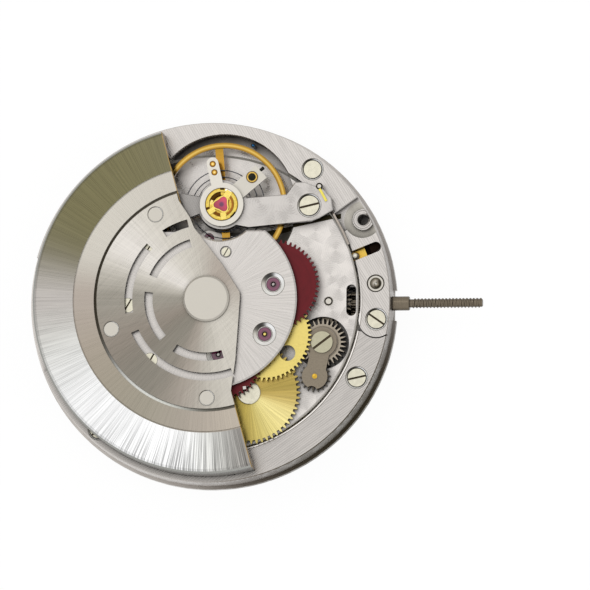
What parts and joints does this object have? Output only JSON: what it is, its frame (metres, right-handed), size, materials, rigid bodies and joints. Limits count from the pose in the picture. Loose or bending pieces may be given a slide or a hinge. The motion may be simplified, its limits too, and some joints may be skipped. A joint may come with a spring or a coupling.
{
  "type": "mechanical watch movement",
  "caption": "Self-winding watch movement with a half-moon rotor, balance under its bridge, gilt and red winding wheels and a threaded stem",
  "frame": {"origin": "on the hand axis, in the plane of the dial seat", "axes": "+Z from the dial seat to the rotor, +X out along the winding stem"},
  "size_m": [0.0354, 0.0284, 0.0067],
  "materials": {
    "plate": "satin",
    "ring": "brushed",
    "rotor_steel": "brushed",
    "weight": "brushed",
    "red": "matte",
    "gilt": "satin",
    "balance_gilt": "polished",
    "steel": "satin",
    "screw": "polished",
    "ruby": "gloss",
    "date": "satin",
    "blue": "satin"
  },
  "bodies": {
    "frame": {"main_plate": "plate", "train_bridge": "plate", "balance_bridge": "plate", "auto_bridge": "plate", "auto_lower_plate": "plate", "pallet_bridge": "plate", "upper_ring": "ring", "lower_ring": "ring", "stem_cover_plate": "ring", "shock_setting": "gilt", "crown_yoke": "steel", "date_guard_plate": "plate", "click_spring": "steel", "screws": "screw", "pins": "screw", "jewels": "ruby"},
    "rotor": {"rotor_hub": "rotor_steel", "rotor_plate": "rotor_steel", "rotor_weight": "weight", "rotor_rivets": "screw"},
    "reversing_wheel_1": {"reversing_wheel_1": "red"},
    "reversing_wheel_2": {"reversing_wheel_2": "red"},
    "reversing_pinion_1": {"reversing_pinion_1": "steel"},
    "reversing_pinion_2": {"reversing_pinion_2": "steel"},
    "relay": {"relay_wheel": "gilt"},
    "ratchet": {"ratchet_wheel": "gilt", "ratchet_screw": "screw", "barrel_arbor": "steel"},
    "barrel": {"barrel_drum": "gilt", "mainspring": "blue"},
    "great": {"great_wheel": "gilt"},
    "third": {"third_wheel": "gilt"},
    "seconds": {"seconds_wheel": "gilt"},
    "escape": {"escape_wheel": "steel"},
    "pallet": {"pallet_fork": "steel"},
    "balance": {"balance_wheel": "balance_gilt", "balance_staff": "steel", "hairspring": "blue"},
    "regulator": {"regulator_arm": "screw"},
    "stud": {"stud_carrier": "screw"},
    "crown": {"crown_wheel": "steel"},
    "idler": {"idler_wheel": "steel"},
    "transfer": {"transfer_wheel": "steel"},
    "winding": {"winding_pinion": "steel"},
    "stem": {"winding_stem": "steel"},
    "sliding": {"sliding_pinion": "steel"},
    "setting_lever": {"setting_lever": "steel"},
    "setting_yoke": {"setting_yoke": "steel"},
    "stop_lever": {"stop_lever": "gilt"},
    "setting_1": {"setting_wheel_1": "steel"},
    "setting_2": {"setting_wheel_2": "steel"},
    "cannon": {"cannon_pinion": "steel"},
    "minute": {"minute_wheel": "gilt"},
    "hour": {"hour_wheel": "gilt"},
    "date_idler": {"date_idler": "gilt"},
    "date_driver": {"date_driving_wheel": "gilt"},
    "date_ring": {"date_ring": "date"},
    "date_jumper": {"date_jumper": "steel"},
    "click": {"click": "steel"},
    "pusher": {"release_pusher": "steel"}
  },
  "joints": [
    {"name": "rotor_spin", "type": "hinge", "parent": "frame", "child": "rotor", "pos_m": [0, 0, 0.003], "axis": [0, 0, 1], "continuous": true},
    {"name": "reversing_spin_1", "type": "hinge", "parent": "frame", "child": "reversing_wheel_1", "pos_m": [0.00515, 0.00116, 0.003], "axis": [0, 0, 1], "continuous": true},
    {"name": "reversing_spin_2", "type": "hinge", "parent": "frame", "child": "reversing_wheel_2", "pos_m": [0.0009, -0.00429, 0.003], "axis": [0, 0, 1], "continuous": true},
    {"name": "relay_spin", "type": "hinge", "parent": "frame", "child": "relay", "pos_m": [0.00451, -0.00273, 0.003], "axis": [0, 0, 1], "continuous": true},
    {"name": "ratchet_spin", "type": "hinge", "parent": "frame", "child": "ratchet", "pos_m": [0.00317, -0.00715, 0.003], "axis": [0, 0, 1], "continuous": true},
    {"name": "reversing_pinion_spin_1", "type": "hinge", "parent": "frame", "child": "reversing_pinion_1", "pos_m": [0.00515, 0.00116, 0.003], "axis": [0, 0, 1], "continuous": true},
    {"name": "reversing_pinion_spin_2", "type": "hinge", "parent": "frame", "child": "reversing_pinion_2", "pos_m": [0.0009, -0.00429, 0.003], "axis": [0, 0, 1], "continuous": true},
    {"name": "seconds_spin", "type": "hinge", "parent": "frame", "child": "seconds", "pos_m": [0, 0, 0.003], "axis": [0, 0, 1], "continuous": true},
    {"name": "escape_spin", "type": "hinge", "parent": "frame", "child": "escape", "pos_m": [-0.00161, 0.0032, 0.003], "axis": [0, 0, 1], "continuous": true},
    {"name": "third_spin", "type": "hinge", "parent": "frame", "child": "third", "pos_m": [-0.00381, -0.00137, 0.003], "axis": [0, 0, 1], "continuous": true},
    {"name": "great_spin", "type": "hinge", "parent": "frame", "child": "great", "pos_m": [-0.00206, -0.0058, 0.003], "axis": [0, 0, 1], "continuous": true},
    {"name": "barrel_spin", "type": "hinge", "parent": "frame", "child": "barrel", "pos_m": [0.00317, -0.00715, 0.003], "axis": [0, 0, 1], "continuous": true},
    {"name": "pallet_rock", "type": "hinge", "parent": "frame", "child": "pallet", "pos_m": [-0.0002, 0.0051, 0.003], "axis": [0, 0, 1], "range_deg": [-5, 5]},
    {"name": "balance_swing", "type": "hinge", "parent": "frame", "child": "balance", "pos_m": [0.001, 0.0075, 0.003], "axis": [0, 0, 1], "range_deg": [-270, 270], "deforming": ["hairspring"]},
    {"name": "regulator_turn", "type": "hinge", "parent": "frame", "child": "regulator", "pos_m": [0.001, 0.0075, 0.003], "axis": [0, 0, 1], "range_deg": [-12, 12]},
    {"name": "stud_turn", "type": "hinge", "parent": "frame", "child": "stud", "pos_m": [0.001, 0.0075, 0.003], "axis": [0, 0, 1], "range_deg": [-4, 4]},
    {"name": "winding_spin", "type": "hinge", "parent": "frame", "child": "winding", "pos_m": [0.01088, 0, 0.00165], "axis": [1, 0, 0], "continuous": true},
    {"name": "transfer_spin", "type": "hinge", "parent": "frame", "child": "transfer", "pos_m": [0.00927, 0, 0.003], "axis": [0, 0, 1], "continuous": true},
    {"name": "crown_spin", "type": "hinge", "parent": "frame", "child": "crown", "pos_m": [0.00886, -0.00326, 0.003], "axis": [0, 0, 1], "continuous": true},
    {"name": "idler_spin", "type": "hinge", "parent": "frame", "child": "idler", "pos_m": [0.00831, -0.00591, 0.003], "axis": [0, 0, 1], "continuous": true},
    {"name": "stem_pull", "type": "slide", "parent": "winding", "child": "stem", "axis": [1, 0, 0], "range_m": [0, 0.000875]},
    {"name": "sliding_pinion_slide", "type": "slide", "parent": "winding", "child": "sliding", "axis": [1, 0, 0], "range_m": [-0.0007, 0]},
    {"name": "setting_lever_turn", "type": "hinge", "parent": "frame", "child": "setting_lever", "pos_m": [0.01291, 0.0014, 0.00065], "axis": [0, 0, 1], "range_deg": [0, 40]},
    {"name": "setting_yoke_turn", "type": "hinge", "parent": "frame", "child": "setting_yoke", "pos_m": [0.0099, -0.0036, 0.00065], "axis": [0, 0, 1], "range_deg": [0, 11.21]},
    {"name": "stop_lever_turn", "type": "hinge", "parent": "frame", "child": "stop_lever", "pos_m": [0.01126, 0.0036, 0.00242], "axis": [0, 0, 1], "range_deg": [0, 6]},
    {"name": "pusher_press", "type": "slide", "parent": "frame", "child": "pusher", "axis": [0, 0, 1], "range_m": [-0.00015, 0], "stiffness_N_per_m": 100},
    {"name": "cannon_spin", "type": "hinge", "parent": "frame", "child": "cannon", "pos_m": [0, 0, 0.00065], "axis": [0, 0, 1], "continuous": true},
    {"name": "minute_spin", "type": "hinge", "parent": "frame", "child": "minute", "pos_m": [0.00271, -0.00099, 0.00065], "axis": [0, 0, 1], "continuous": true},
    {"name": "hour_spin", "type": "hinge", "parent": "frame", "child": "hour", "pos_m": [0, 0, 0.0003], "axis": [0, 0, 1], "continuous": true},
    {"name": "setting_spin_1", "type": "hinge", "parent": "frame", "child": "setting_1", "pos_m": [0.00592, 0, 0.00065], "axis": [0, 0, 1], "continuous": true},
    {"name": "setting_spin_2", "type": "hinge", "parent": "frame", "child": "setting_2", "pos_m": [0.00814, 0.0009, 0.00065], "axis": [0, 0, 1], "continuous": true},
    {"name": "date_idler_spin", "type": "hinge", "parent": "frame", "child": "date_idler", "pos_m": [-0.00295, -0.00052, 0.0005], "axis": [0, 0, 1], "continuous": true},
    {"name": "date_driver_spin", "type": "hinge", "parent": "frame", "child": "date_driver", "pos_m": [-0.00676, -0.0023, 0.0005], "axis": [0, 0, 1], "continuous": true},
    {"name": "date_ring_spin", "type": "hinge", "parent": "frame", "child": "date_ring", "pos_m": [0, 0, 0.0003], "axis": [0, 0, 1], "continuous": true},
    {"name": "date_jumper_turn", "type": "hinge", "parent": "frame", "child": "date_jumper", "pos_m": [0.0006, -0.0086, 0.0003], "axis": [0, 0, 1], "range_deg": [-4, 0], "stiffness_Nm_per_rad": 0.0001},
    {"name": "click_turn", "type": "hinge", "parent": "frame", "child": "click", "pos_m": [-0.0018, -0.0086, 0.0035], "axis": [0, 0, 1], "range_deg": [0, 6], "stiffness_Nm_per_rad": 0.0001}
  ],
  "couplings": [
    {"joint": "reversing_spin_1", "follows": "rotor_spin", "ratio": 0.26786},
    {"joint": "reversing_spin_2", "follows": "rotor_spin", "ratio": -0.26786},
    {"joint": "ratchet_spin", "follows": "relay_spin", "ratio": -0.18966},
    {"joint": "reversing_pinion_spin_1", "follows": "relay_spin", "ratio": -7.125},
    {"joint": "reversing_pinion_spin_2", "follows": "relay_spin", "ratio": -7.125},
    {"joint": "escape_spin", "follows": "seconds_spin", "ratio": -12},
    {"joint": "third_spin", "follows": "seconds_spin", "ratio": -0.125},
    {"joint": "great_spin", "follows": "seconds_spin", "ratio": 0.016667},
    {"joint": "barrel_spin", "follows": "seconds_spin", "ratio": -0.0030702},
    {"joint": "transfer_spin", "follows": "winding_spin", "ratio": -0.5},
    {"joint": "crown_spin", "follows": "winding_spin", "ratio": 0.48276},
    {"joint": "idler_spin", "follows": "winding_spin", "ratio": -0.77778},
    {"joint": "sliding_pinion_slide", "follows": "stem_pull", "ratio": -0.8},
    {"joint": "setting_lever_turn", "follows": "stem_pull", "rad_per_m": 797.86},
    {"joint": "setting_yoke_turn", "follows": "stem_pull", "rad_per_m": 223.65},
    {"joint": "stop_lever_turn", "follows": "stem_pull", "rad_per_m": 119.67},
    {"joint": "minute_spin", "follows": "cannon_spin", "ratio": -0.33333},
    {"joint": "hour_spin", "follows": "cannon_spin", "ratio": 0.083333},
    {"joint": "setting_spin_1", "follows": "cannon_spin", "ratio": 0.6},
    {"joint": "setting_spin_2", "follows": "cannon_spin", "ratio": -0.6},
    {"joint": "date_idler_spin", "follows": "cannon_spin", "ratio": -0.055556},
    {"joint": "date_driver_spin", "follows": "cannon_spin", "ratio": 0.041667}
  ]
}
